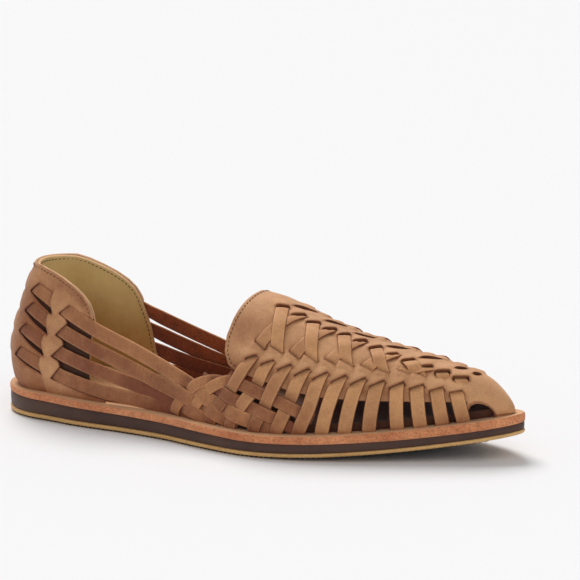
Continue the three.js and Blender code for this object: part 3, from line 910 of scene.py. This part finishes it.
def toward(a, b, share):
    """Point `share` of the way from a to b."""
    return (a[0] + (b[0] - a[0]) * share, a[1] + (b[1] - a[1]) * share)


def middle(a, b):
    return ((a[0] + b[0]) / 2, (a[1] + b[1]) / 2)


def on_side(rows, side):
    """Rows (along, turn, lift) of the outer side, mirrored for the inner one."""
    return [(a, t if side < 0 else 180 - t, h) for a, t, h in rows]


def beyond(a, b, reach):
    """Point past b on the line from a, in the chart's along and turn, `reach` mm on."""
    pa, pb = last(a[0], a[1]), last(b[0], b[1])
    s = reach / np.linalg.norm(pb - pa)
    return (b[0] + (b[0] - a[0]) * s, b[1] + (b[1] - a[1]) * s)


def under_lips(*own):
    """Mask of the chart past the given slits' lips."""
    def covered(along, turn):
        mask = np.zeros(np.shape(along))
        for slit in own:
            u, v = in_slit(along, girth(along, turn), slit)
            mask = np.maximum(mask, smooth(v, -1.7, 0.35) * (np.hypot(u, v) < 11))
        return mask
    return covered


# length of a cross strap's end that is hidden under the leather
TUCK = 4.2


def crossing_strap(pieces, top, bottom, crest, side, tint):
    """Strap from a top slit to a bottom slit; crest is its height where the straps cross."""
    a, b = middle(*top), middle(*bottom)
    rows = [(*beyond(b, a, TUCK), -0.5)]
    for s, lift in ((0.0, -0.35), (0.2, -0.1), (0.5, crest), (0.8, -0.15), (1.0, -0.35)):
        rows.append((*toward(a, b, s), lift))
    rows.append((*beyond(a, b, TUCK), -0.5))
    mask = under_lips(slit_at(*top, True, side), slit_at(*bottom, False, side))
    strap(pieces, last, rows, width=6.3, thick=1.1, tint=tint, covered=mask)


def end_strap(pieces, slit_ends, side):
    """Short strap near the toe, from its slit down under the leather."""
    m = middle(*slit_ends)
    low = (m[0] + 1.6, m[1] + 11.0 * side)
    rows = [(*beyond(low, m, 4.0), -0.5), (*m, -0.4), (m[0] + 0.8, (m[1] + low[1]) / 2, -0.45),
            (*low, -1.3), (*beyond(m, low, 4.0), -2.2)]
    strap(pieces, last, rows, width=6.2, thick=1.1, tint=0.25,
          covered=under_lips(slit_at(*slit_ends, True, side)))


cross = Pieces()
for side in (-1, 1):
    for over, under in zip(over_ends[side], under_ends[side]):
        crossing_strap(cross, under[:2], under[2:], -0.1, side, 0.3 + 0.1 * rng.random())
        crossing_strap(cross, over[:2], over[2:], 0.95, side, 0.18 + 0.2 * rng.random())
    for slit_ends in end_slits[side]:
        end_strap(cross, slit_ends, side)
cross_straps = cross.build("cross_straps", [STRAP_NUBUCK, CUT_EDGE, FLESH], 60)

# ---------------------------------------------------------------- side straps and weave
UNDER, OVER = -1.6, -0.3
# feet of the plain side straps at the feather line, straps 6 to 12
PLAIN_FEET = [182.0, 191.5, 201.5, 212.8, 222.0, 230.7, 239.0]
# woven straps from the slots: x, z and whether it passes over there
WOVEN_DOWN = [
    [(139.3, 31.5, 1), (135.1, 25.2, 0), (132.1, 20.5, 1), (129.0, 16.6, 0), (127.0, 12.6, 1)],
    [(149.6, 31.0, 0), (145.2, 23.9, 1), (140.5, 17.6, 0), (138.2, 13.2, 1)],
    [(157.2, 27.5, 1), (154.5, 20.5, 0), (151.7, 14.6, 1), (150.8, 12.2, 1)],
    [(166.3, 25.0, 0), (163.4, 16.4, 1), (161.8, 12.6, 1)],
    [(175.3, 22.0, 1), (172.6, 14.6, 1), (172.0, 13.0, 1)],
]
# straps that fold over the top edge of the weave, starting inside the shoe
FOLDED_DOWN = [
    [(131.5, 31.2, -2.6), (127.0, 31.2, -2.0), (121.6, 29.6, -0.5), (116.4, 26.8, OVER),
     (112.2, 22.0, UNDER), (107.8, 17.7, OVER), (105.8, 14.4, -0.6), (105.2, 12.4, -1.2)],
    [(140.0, 33.0, -2.6), (135.4, 32.2, -1.9), (130.4, 30.2, -0.5), (125.4, 27.0, OVER),
     (121.3, 23.0, UNDER), (119.4, 19.9, OVER), (116.5, 15.5, UNDER), (115.3, 12.2, -1.4)],
]
# short straps running forward and down
FORWARD = [
    [(134.0, 35.0, -2.4), (139.0, 32.3, UNDER), (149.0, 29.6, OVER), (157.6, 26.9, UNDER),
     (166.4, 23.6, OVER), (173.6, 20.6, UNDER), (178.0, 18.6, -1.8)],
    [(119.5, 31.4, -2.4), (124.6, 29.9, UNDER), (129.6, 28.0, UNDER), (135.6, 25.6, OVER),
     (145.2, 22.6, UNDER), (154.8, 20.0, OVER), (163.4, 16.6, UNDER), (169.5, 13.4, -1.4)],
]
# heel straps: x, z at the window's back end, window's front end, slot and front of the counter
HEEL_BACK_Z = [66.0, 57.0, 46.9, 35.6]
HEEL_STRAPS = [
    [(22.4, 62.5), (33.9, 57.2), (41.2, 54.1), (58.0, 47.2)],
    [(20.1, 53.3), (31.85, 47.5), (40.0, 44.2), (58.0, 38.05)],
    [(16.8, 43.05), (30.0, 36.7), (37.85, 33.7), (58.0, 28.45)],
    [(14.3, 31.45), (28.9, 25.9), (37.1, 23.05), (58.0, 18.85)],
]
# where each heel strap enters the weave: x, z, lift
HEEL_ENDS = [
    [(84, 38.2, -0.3), (104, 31.0, -0.4), (115.2, 26.6, UNDER), (121.6, 23.6, OVER),
     (132.0, 20.4, UNDER), (140.8, 17.5, OVER), (151.4, 14.8, UNDER), (158.5, 12.6, -1.5)],
    [(84, 29.6, -0.1), (103, 23.6, -0.15), (113.2, 21.2, OVER), (119.5, 19.6, UNDER),
     (129.2, 16.5, OVER), (137.6, 13.6, UNDER), (141.5, 12.2, -1.5)],
    [(84, 22.4, -1.25), (99, 19.4, -1.5), (107.6, 17.5, UNDER), (116.8, 15.3, OVER),
     (122.5, 13.0, -1.0), (125.5, 12.0, -1.5)],
    [(84, 15.8, -1.0), (99, 14.4, -1.6), (108.5, 13.6, -1.9), (114.0, 12.6, -2.1)],
]


def side_rows(rows, side):
    """Rows x, z, lift on the outer side as along, turn, lift."""
    out = []
    for x, z, lift in rows:
        base = sole_top(x) + GAP
        turn = turn_at(x, z) if z > base else (z - base) / 0.9
        out.append((x, turn, lift))
    return on_side(out, side)


def strap_down(k):
    """Rows of a side strap on the outer side, from under the vamp's lip to its foot."""
    x = SIDE_SLOT_FIRST + SIDE_SLOT_PITCH * k
    turn = sum(SLOT_TURNS[k]) / 2
    if k < len(WOVEN_DOWN):
        rows = side_rows([(at, z, OVER if over else UNDER) for at, z, over in WOVEN_DOWN[k]], -1)
        foot, foot_turn, _ = rows.pop()
        rows += [(foot, foot_turn, -0.9), (foot - 0.6, -2.8, -1.5)]
    else:
        foot = PLAIN_FEET[k - len(WOVEN_DOWN)]
        lean = foot - x
        rows = [(x + lean * 0.45, turn * 0.6, -0.45), (x + lean * 0.75, turn * 0.3, -0.5),
                (foot, 1.0, -0.9), (foot + lean * 0.03, -2.8, -1.5)]
    slot, first = (x, turn), rows[0][:2]
    return [(*beyond(first, slot, 4.4), -0.5), (*slot, -0.3), (*beyond(first, slot, -2.6), -0.22)] + rows


def darker_below(base, extra, reach):
    """Tint that grows by `extra` from the turn `reach` down to the foot, on both sides: painted shade,
    the strap darker low down.
    """
    return lambda along, turn: base + extra * (1 - smooth(np.minimum(turn, 180 - turn), 2, reach))


side_straps, weave = Pieces(), Pieces()
for side in (-1, 1):
    own_slits = slits["side"][:SIDE_STRAPS] if side < 0 else slits["side"][SIDE_STRAPS:]
    for k, slit in enumerate(own_slits):
        woven = k < len(WOVEN_DOWN)
        base = rng.uniform(0.05, 0.3) + (0.08 if woven else 0)
        shade = darker_below(base, 0.5, 36) if woven else darker_below(base, 0.32, 28)
        strap(side_straps, last, on_side(strap_down(k), side), width=6.5, thick=1.2, tint=shade,
              covered=under_lips(slit))
    for group, wide, tints in ((FOLDED_DOWN, 5.8, (0.25, 0.5)), (FORWARD, 6.0, (0.68, 0.92))):
        for rows in group:
            strap(weave, last, side_rows(rows, side), width=wide, thick=1.15, tint=rng.uniform(*tints))
side_piece = side_straps.build("side_straps", [STRAP_NUBUCK, CUT_EDGE, FLESH], 60)
weave_piece = weave.build("weave_straps", [HEEL_NUBUCK, CUT_EDGE, FLESH], 60)

# a dark strip of leather behind the weave, inside, that stands in for the shade seen through the weave's
# gaps, painted shade: x, z of its edge
SHADE_SHEET_EDGE = [(112, 8), (112, 17), (117, 23.5), (124, 27.5), (134, 30.0), (146, 29.6), (156, 26.6),
                (164, 22.6), (170, 17.5), (172, 8)]
SHADE_SHEET_FACE, SHADE_SHEET_THICK = -2.9, 0.7
strip = Pieces()
for side in (-1, 1):
    run = np.arange(run_at(108, 20, side), run_at(176, 20, side), 1.2 * side)
    run, z = np.meshgrid(run, np.arange(10.4, 34, 1.2), indexing="ij")
    p, _, _, n = patch(around, run, z)
    inside = polygon_distance(run, z, rolled(SHADE_SHEET_EDGE, side))
    level = np.full(run.shape, SHADE_SHEET_FACE)
    sheet(strip, p, n, inside, level, level - SHADE_SHEET_THICK, 0.4, bulge=0.1)
strip_piece = strip.build("weave_shade_sheet", [BACKING_AND_SHADE, CUT_EDGE, FLESH], 60)

HEEL_TINTS = [0.56, 0.74, 0.86, 0.7]
HEEL_SINK_SHARE = 0.4
# corners of the back windows and the front slots that the heel straps pass through
BACK_LINES = [[(20, 60.5), (24.9, 64.6)], [(17.4, 51), (22.8, 55.6)], [(14.4, 40.9), (19.2, 45.2)],
              [(12.3, 29.2), (16.3, 33.7)]]
BAND_LINES = [[(33.6, 53.7), (33.4, 60.6)], [(31.6, 44), (31.5, 51)], [(29.9, 33.3), (29.5, 40.1)],
              [(28.8, 22.1), (28.0, 29.7)]]
SLOT_LINES = [[(38.2, 51.9), (44.3, 56.3)], [(37.1, 41.6), (42.8, 46.8)], [(34.9, 31.2), (40.8, 36.2)],
              [(34.9, 20.5), (39.3, 25.6)]]


def past_line(run, z, line, forward):
    """Distance past a line on either side of the heel, towards the toe or the heel."""
    (ax, az), (bx, bz) = [(abs(run_at(x, h, -1)), h) for x, h in line]
    length = math.hypot(bx - ax, bz - az)
    d = ((np.abs(run) - ax) * (bz - az) - (z - az) * (bx - ax)) / length
    return d if forward else -d


def heel_cover_mask(k):
    def covered(run, z):
        behind = smooth(past_line(run, z, BACK_LINES[k], False), -1.6, 0.3)
        band = np.minimum(smooth(past_line(run, z, BAND_LINES[k], True), -1.2, 0.3),
                          smooth(past_line(run, z, SLOT_LINES[k], False), -1.6, 0.3))
        return HEEL_SINK_SHARE * np.maximum(behind, band)
    return covered


def heel_strap_half(k, side):
    """Rows round, height, lift of heel strap k from the back window to the weave."""
    back, window, slot, front = HEEL_STRAPS[k]
    rows = [(*back, -0.7), (*toward(back, window, 0.5), -0.7), (*window, -0.6),
            (*toward(slot, front, 0.2), -0.2), (*toward(slot, front, 0.5), -0.25), (*front, -0.25)]
    return [(run_at(x, z, side), z, lift) for x, z, lift in rows + HEEL_ENDS[k]]


FREE_FROM, WOVEN_FROM = run_at(60, 30, 1), run_at(112, 20, 1)


def heel_strap_width(run, z):
    """Width where it runs round; the inner side's free stretch is a little wider."""
    return 6.1 + 0.6 * smooth(np.abs(run), 36, 46) + 0.7 * smooth(run, FREE_FROM, FREE_FROM + 8)


def lighter_at_weave(tint):
    return lambda run, z: tint * (1 - 0.25 * smooth(np.abs(run), WOVEN_FROM - 18, WOVEN_FROM + 4))


heel_bands = Pieces()
for k, back_z in enumerate(HEEL_BACK_Z):
    rows = heel_strap_half(k, 1)[::-1] + [(0.0, back_z, -0.6)] + heel_strap_half(k, -1)
    strap(heel_bands, around, rows, width=heel_strap_width, thick=1.15,
          tint=lighter_at_weave(HEEL_TINTS[k]), covered=heel_cover_mask(k))
heel_straps = heel_bands.build("heel_straps", [HEEL_NUBUCK, RAW_EDGE, FLESH], 60)

# ---------------------------------------------------------------- heel counter and cover
TOPLINE = [(15, 73.6), (24.5, 72.8), (31, 71), (38, 68.4), (45, 65.2), (50.5, 61.9), (54.6, 58.2),
           (57, 54), (58.3, 50)]
COUNTER_FRONT = {-1: [(57.2, 43), (56.6, 33), (56.6, 22), (61.6, 13), (62, 5)],
                 1: [(60.4, 44), (62, 38), (64, 27), (69, 13), (69.5, 5)]}
COVER_NOSE = [(59.5, 46), (64, 25), (66.0, 14.6), (65.4, 12.0), (64, 5)]
WINDOWS = [
    [*BACK_LINES[0], (33.8, 60.6), (32.9, 57.0), (34.2, 50.6), (27, 55.0)],
    [*BACK_LINES[1], (31.9, 51), (31.0, 47.4), (32.3, 40.9), (25, 45.2)],
    [*BACK_LINES[2], (29.8, 40.1), (29.0, 36.8), (30.5, 30.4), (22.5, 34.9)],
    [*BACK_LINES[3], (28.1, 29.7), (27.7, 26.0), (29.6, 21.6), (20.5, 25.0)],
]
BAND_EDGE = [(36, 66), (34.6, 63), (33.8, 60.6), (32.9, 57.0), (34.2, 51.6), (31.9, 51), (31.0, 47.4),
             (32.2, 41.6), (29.8, 40.1), (29.0, 36.8), (30.4, 31.2), (28.1, 29.7), (27.7, 26.0),
             (29.6, 20.6), (31.0, 16.0), (31.6, 5.0)]
FRONT_OPENING = [SLOT_LINES[0][1], (66, 47.4), (70, 30), (70, 12.6), (66, 13.5), (58, 15.1),
                 *SLOT_LINES[3], (40.1, 26.8), (39.2, 29.2), *SLOT_LINES[2], (42, 37.5), (41.3, 39.6),
                 *SLOT_LINES[1], (43.6, 48), (42.3, 50), SLOT_LINES[0][0]]
COUNTER_FACE, COUNTER_THICK, COVER_FACE, COVER_THICK = -0.95, 1.3, 0.45, 1.25
TOPLINE_ROLLED = rolled(TOPLINE[::-1], -1)[:-1] + [(0.0, TOPLINE[0][1])] + rolled(TOPLINE[1:], 1)


def heel_grid(step):
    reach = float(np.interp(74, _ALONG, _RUN))
    run = np.linspace(-reach, reach, int(2 * reach / step) + 1)
    z = np.arange(9.0, 76.0, step)
    run, z = np.meshgrid(run, z, indexing="ij")
    p, _, _, n = patch(around, run, z)
    return run, z, p, n


def heel_outline(run, z, front):
    corners = rolled(TOPLINE[::-1], -1)[:-1] + [(0.0, TOPLINE[0][1] + 0.1)] + rolled(TOPLINE[1:], 1)
    corners += rolled(front[1], 1) + [(0.0, 5.0)] + rolled(front[-1][::-1], -1)
    return polygon_distance(run, z, corners)


def heel_counter():
    """The heel's stiff wall: leather outside, pale lining inside."""
    run, z, p, n = heel_grid(1.0)
    face = COUNTER_FACE + 0.25 * np.sin(run * 0.13 + 1) * np.sin(z * 0.11)
    pieces = Pieces()
    # painted light and shade: lighter at the top of the heel, darker towards the bottom
    sheet(pieces, p, n, heel_outline(run, z, COUNTER_FRONT), face, face - COUNTER_THICK,
          0.1 + 0.75 * (1 - smooth(z, 30, 66)), bulge=0.12)
    return pieces.build("heel_counter", [BACKING_AND_SHADE, BINDING, LINING], 60)


def heel_leather():
    """The outer leather of the heel, with windows, and swells over the straps beneath it."""
    run, z, p, n = heel_grid(0.72)
    swell = np.zeros(run.shape)
    openings = np.full(run.shape, 1e9)
    band = np.full(run.shape, -1e9)
    for side in (-1, 1):
        for corners in WINDOWS + [FRONT_OPENING]:
            openings = np.minimum(openings, -polygon_distance(run, z, rolled(corners, side)))
        for back_z, (back, window, slot, _) in zip(HEEL_BACK_Z, HEEL_STRAPS):
            over_band = polyline_distance(run, z, rolled([window, slot], side))
            over_back = polyline_distance(run, z, [(0.0, back_z)] + rolled([back], side))
            swell = np.maximum(swell, 1 - smooth(over_band, 2.4, 5.0))
            swell = np.maximum(swell, 0.9 * (1 - smooth(over_back, 1.8, 5.0)))
        corners = rolled(BAND_EDGE, side) + [(side * 90.0, 5.0), (side * 90.0, 66.0)]
        band = np.maximum(band, polygon_distance(run, z, corners))
    inside = np.minimum(heel_outline(run, z, {-1: COVER_NOSE, 1: COVER_NOSE}), openings)
    rim = polyline_distance(run, z, rolled(TOPLINE[::-1], -1)[:-1] + rolled(TOPLINE, 1)[1:])
    step = smooth(band, -0.3, 0.4) * (1 - smooth(z, 60.5, 64.5)) * smooth(rim, 2.8, 5.5)
    low = z - sole_top(np.interp(np.abs(run), _RUN, _ALONG)) - GAP
    height = COVER_FACE + 0.6 * swell + 0.45 * step - 0.35 * (1 - smooth(np.abs(run), 16, 30))
    height += 0.15 * (1 - smooth(rim, 0.5, 1.8)) - 0.2 * np.exp(-((rim - 1.5) / 0.4) ** 2)
    height += 0.12 * np.sin(run * 0.17 + z * 0.08) * np.sin(z * 0.21) - 1.1 * (1 - smooth(low, -0.5, 4.0))
    # painted shade: darker towards the sole; lighter over the band and the swells, and near the top;
    # darker rims round the windows and openings, partly burnished cut edges and partly painted shadow
    tint = 0.66 - 0.08 * swell - 0.36 * step + 0.16 * np.sin(run * 0.09 + 2) * np.sin(z * 0.1)
    tint += 0.3 * (1 - smooth(low, 0, 10)) - 0.1 * smooth(z, 58, 70)
    tint = np.clip(tint + 0.45 * (1 - smooth(openings, 0.1, 0.9)), 0, 1.15)
    pieces = Pieces()
    sheet(pieces, p, n, inside, height, np.maximum(height - COVER_THICK, COUNTER_FACE + 0.02), tint,
          bulge=0.12, trim=(rim < 1.5) * 1.0)
    return pieces.build("heel_leather", [NUBUCK, CUT_EDGE, FLESH, BINDING], 60)


counter_piece = heel_counter()
cover_piece = heel_leather()
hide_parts("heel_cover")

# ---------------------------------------------------------------- stitches
STITCH, STITCH_GAP, STITCH_RADIUS, STITCH_SIDES = 1.5, 0.65, 0.21, 6
STITCH_SHARES = (0, 0.2, 0.5, 0.8, 1)


def stitches(pieces, points, normals):
    """A row of stitches along points, each a short thread bowed up out of the leather."""
    points, normals = np.array(points), np.array(normals)
    s = running(points)
    at = lambda t: np.array([np.interp(t, s, points[:, i]) for i in range(3)])
    way = lambda t: unit(np.array([np.interp(t, s, normals[:, i]) for i in range(3)]))
    angles = np.linspace(0, 2 * math.pi, STITCH_SIDES, endpoint=False)
    faces = tube_faces(len(STITCH_SHARES), STITCH_SIDES)
    start = 0.3
    while start + STITCH < s[-1]:
        rings = []
        for share in STITCH_SHARES:
            t = start + STITCH * share
            up = way(t)
            side = np.cross(up, unit(at(min(t + 0.1, s[-1])) - at(t - 0.1)))
            r = STITCH_RADIUS * (0.55 if share in (0, 1) else 1.0)
            c = at(t) + up * (0.14 - 1.6 * (share - 0.5) ** 2)
            rings.append([c + r * (side * math.cos(a) + up * math.sin(a)) for a in angles])
        pieces.add(rings, faces, 0)
        start += STITCH + STITCH_GAP


def stitched_edge(pieces, corners, inset, look, surface, lift, facing=1, chart=lambda x, y: (x, y)):
    """Stitches beside an edge, `inset` from it. chart turns the corners' coordinates into the
    surface's, look is the reach that the edge's direction is taken over."""
    corners = np.array(corners)
    run = running(corners)
    at = lambda t: np.array([np.interp(t, run, corners[:, i]) for i in (0, 1)])
    line, ways = [], []
    for t in np.arange(1.5, run[-1] - 1.5, 1.2):
        d = unit(at(t + look) - at(t - look))
        u, v = chart(*(at(t) + inset * np.array([d[1], -d[0]])))
        p, _, _, n = patch(surface, np.array([u]), np.array([v]))
        line.append(p[0] + n[0] * lift)
        ways.append(n[0] * facing)
    stitches(pieces, line, ways)


def chart_point(x, y):
    """Along and turn of a point of the forefoot's chart."""
    turns = np.linspace(0, 180, 181)
    return x, float(np.interp(y, girth(np.full(181, x), turns), turns))


thread = Pieces()
stitched_edge(thread, THROAT_LINE, STITCH_IN, 1, last, BAND_LIFT - 0.2, chart=chart_point)
stitched_edge(thread, TOPLINE_ROLLED, 1.5, 1.5, around, COVER_FACE - 0.12)
lined = rolled(COUNTER_FRONT[-1][-2::-1], -1) + TOPLINE_ROLLED + rolled(COUNTER_FRONT[1][:-1], 1)
stitched_edge(thread, lined, 1.3, 1.5, around, COUNTER_FACE - COUNTER_THICK - 0.02, -1)
thread_piece = thread.build("stitches", [THREAD], 60)

# ---------------------------------------------------------------- camera, floor and light
VIEW_TURN, VIEW_RISE, VIEW_DISTANCE, FOCAL_SHARE = math.radians(27), math.radians(11.5), 1200.0, 4.408
right = np.array((math.cos(VIEW_TURN), math.sin(VIEW_TURN), 0))
back = np.array((math.sin(VIEW_TURN) * math.cos(VIEW_RISE), -math.cos(VIEW_TURN) * math.cos(VIEW_RISE),
                 math.sin(VIEW_RISE)))
up = np.cross(back, right)
AIM = np.array((131.0, 0.0, 20.0)) + right * 16.38 + up * 46.65
spot = place(AIM + back * VIEW_DISTANCE)
camera_data = bpy.data.cameras.new("camera")
camera_data.sensor_width = 36
camera_data.lens = 36 * FOCAL_SHARE
camera_data.clip_end = 50
camera = bpy.data.objects.new("camera", camera_data)
camera.matrix_world = Matrix([(*[float(c[i]) for c in (right, up, back)], float(spot[i]))
                              for i in range(3)] + [(0, 0, 0, 1)])
bpy.context.scene.collection.objects.link(camera)
bpy.context.scene.camera = camera

floor_mesh = bpy.data.meshes.new("floor")
floor_mesh.from_pydata([(-12, -12, 0), (12, -12, 0), (12, 12, 0), (-12, 12, 0)], [], [(0, 1, 2, 3)])
floor = bpy.data.objects.new("floor", floor_mesh)
bpy.context.scene.collection.objects.link(floor)
paper = bpy.data.materials.new("floor_paper")
paper.use_nodes = True
shader = paper.node_tree.nodes["Principled BSDF"]
shader.inputs["Base Color"].default_value = (0.885, 0.885, 0.895, 1)
shader.inputs["Roughness"].default_value = 0.9
shader.inputs["Specular IOR Level"].default_value = 0.1
floor_mesh.materials.append(paper)


def sun(name, toward, strength, angle, colour):
    """Soft parallel light, coming from the direction `toward`."""
    data = bpy.data.lights.new(name, "SUN")
    data.energy, data.angle, data.color = strength, math.radians(angle), colour
    light = bpy.data.objects.new(name, data)
    light.rotation_euler = (-Vector(toward)).to_track_quat("-Z", "Y").to_euler()
    bpy.context.scene.collection.objects.link(light)


sun("key", (-0.42, 0.38, 0.82), 2.22, 32, (1.0, 0.985, 0.965))
sun("fill", (0.5, -0.55, 0.75), 0.38, 60, (1.0, 0.99, 0.98))
world = bpy.data.worlds.new("studio")
bpy.context.scene.world = world
world.use_nodes = True
world.node_tree.nodes["Background"].inputs[0].default_value = (0.97, 0.98, 1.0, 1)
world.node_tree.nodes["Background"].inputs[1].default_value = 0.42
bpy.context.scene.view_settings.view_transform = "Standard"
bpy.context.scene.view_settings.look = "None"
